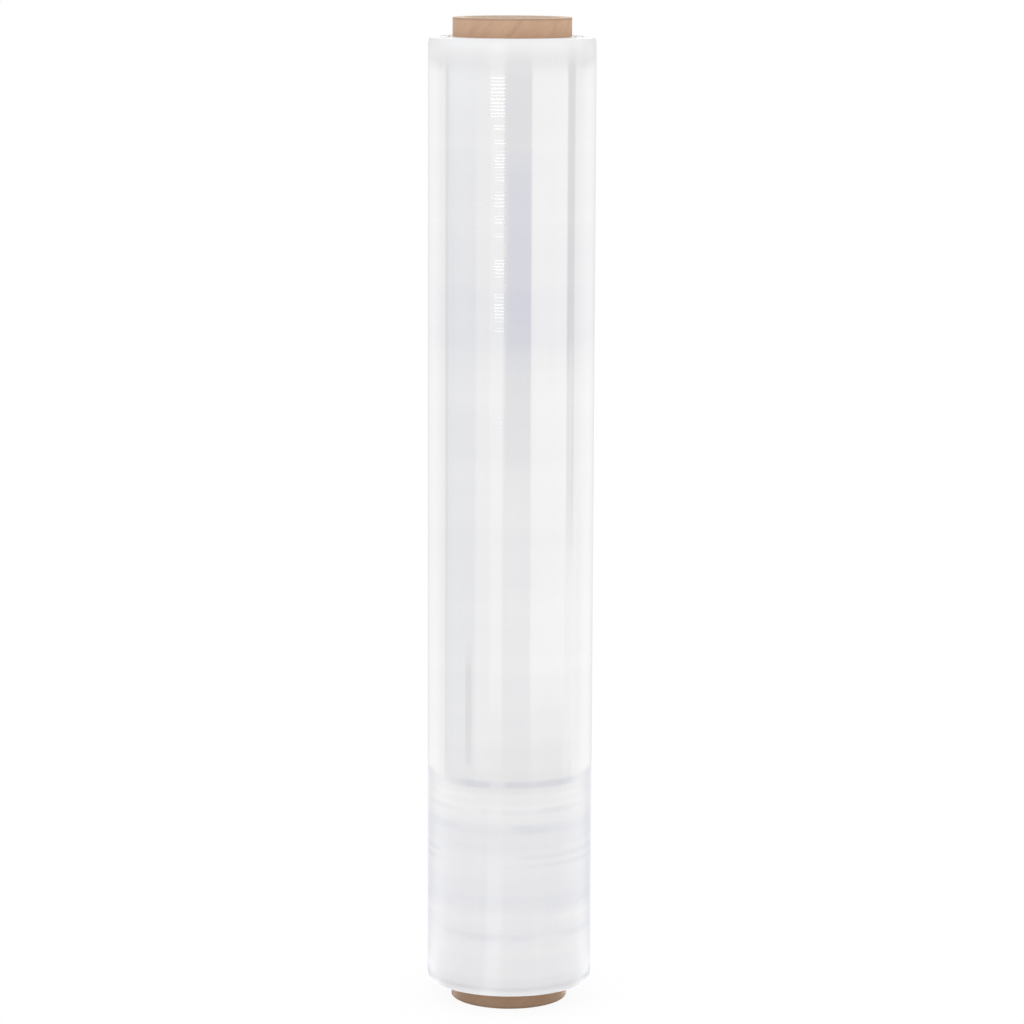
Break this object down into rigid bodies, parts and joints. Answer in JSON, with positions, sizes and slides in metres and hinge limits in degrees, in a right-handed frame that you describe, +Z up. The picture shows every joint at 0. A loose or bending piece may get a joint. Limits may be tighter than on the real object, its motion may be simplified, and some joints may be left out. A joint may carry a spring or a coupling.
{
  "type": "stretch wrap roll",
  "caption": "Roll of clear stretch film wound on a spiral cardboard tube that stands proud at both ends, standing upright on the tube's end.",
  "frame": {"origin": "middle of the tube's lower end, on which the roll stands", "axes": "+Z up the axis of the roll, -Y towards the front of the picture"},
  "size_m": [0.0874, 0.0873, 0.5205],
  "materials": {
    "cardboard": "plain unbleached brown board, spiral wound, with saw-cut rims",
    "film": "many turns of clear film that read as milky white, glossy, with faint gauge bands"
  },
  "bodies": {
    "root": {"core_tube": "cardboard", "film_roll": "film"}
  },
  "joints": []
}
